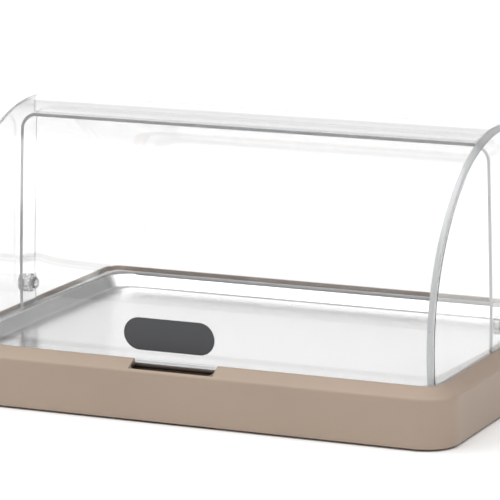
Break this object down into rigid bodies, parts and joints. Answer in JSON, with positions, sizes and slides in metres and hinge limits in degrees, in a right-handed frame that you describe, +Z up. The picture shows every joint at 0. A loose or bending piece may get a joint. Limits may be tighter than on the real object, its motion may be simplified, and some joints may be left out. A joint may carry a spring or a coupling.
{
  "type": "refrigerated buffet display",
  "caption": "Chilled countertop food display: shallow steel tray in a plastic base over ice packs, under a clear roll-top cover whose front shell rolls back on side pivots.",
  "frame": {"origin": "on the table, under the middle of the base", "axes": "+X along the length, to the right as seen from the front; +Y to the back; +Z up; the front with the finger notch faces -Y"},
  "size_m": [0.44, 0.333, 0.2153],
  "materials": {
    "taupe_abs": "fine satin moulding",
    "taupe_abs_under": "matt",
    "zinc_steel": "zinc plated",
    "foam": "closed-cell foam",
    "foot_rubber": "matt",
    "stainless_steel": "fine satin",
    "pack_polyethylene": "satin",
    "plug_polyethylene": "satin",
    "clear_plastic": "clear, polished",
    "clear_pivot_plastic": "clear, polished",
    "badge_film": "matt",
    "adhesive_film": "matt"
  },
  "bodies": {
    "base": {"base_housing": "taupe_abs", "bottom_plate": "taupe_abs_under", "bottom_screws": "zinc_steel", "insulation_slab": "foam", "foot_front_left": "foot_rubber", "foot_front_right": "foot_rubber", "foot_rear_left": "foot_rubber", "foot_rear_right": "foot_rubber", "ice_pack_left": "pack_polyethylene", "ice_pack_right": "pack_polyethylene", "pack_plug_left": "plug_polyethylene", "pack_plug_right": "plug_polyethylene"},
    "tray": {"tray": "stainless_steel"},
    "rear_cover": {"rear_cover": "clear_plastic", "pivot_pin_left": "clear_pivot_plastic", "pivot_pin_right": "clear_pivot_plastic", "pivot_washer_left": "clear_pivot_plastic", "pivot_washer_right": "clear_pivot_plastic", "pivot_knob_left": "clear_pivot_plastic", "pivot_knob_right": "clear_pivot_plastic"},
    "front_cover": {"front_cover": "clear_plastic", "badge_plate": "badge_film", "badge_adhesive": "adhesive_film"}
  },
  "joints": [
    {"name": "tray_lift", "type": "slide", "parent": "base", "child": "tray", "axis": [0, 0, 1], "range_m": [0, 0.06]},
    {"name": "cover_lift", "type": "slide", "parent": "tray", "child": "rear_cover", "axis": [0, 0, 1], "range_m": [0, 0.08]},
    {"name": "front_roll", "type": "hinge", "parent": "rear_cover", "child": "front_cover", "pos_m": [0, 0, 0.0605], "axis": [-1, 0, 0], "range_deg": [0, 70]}
  ]
}
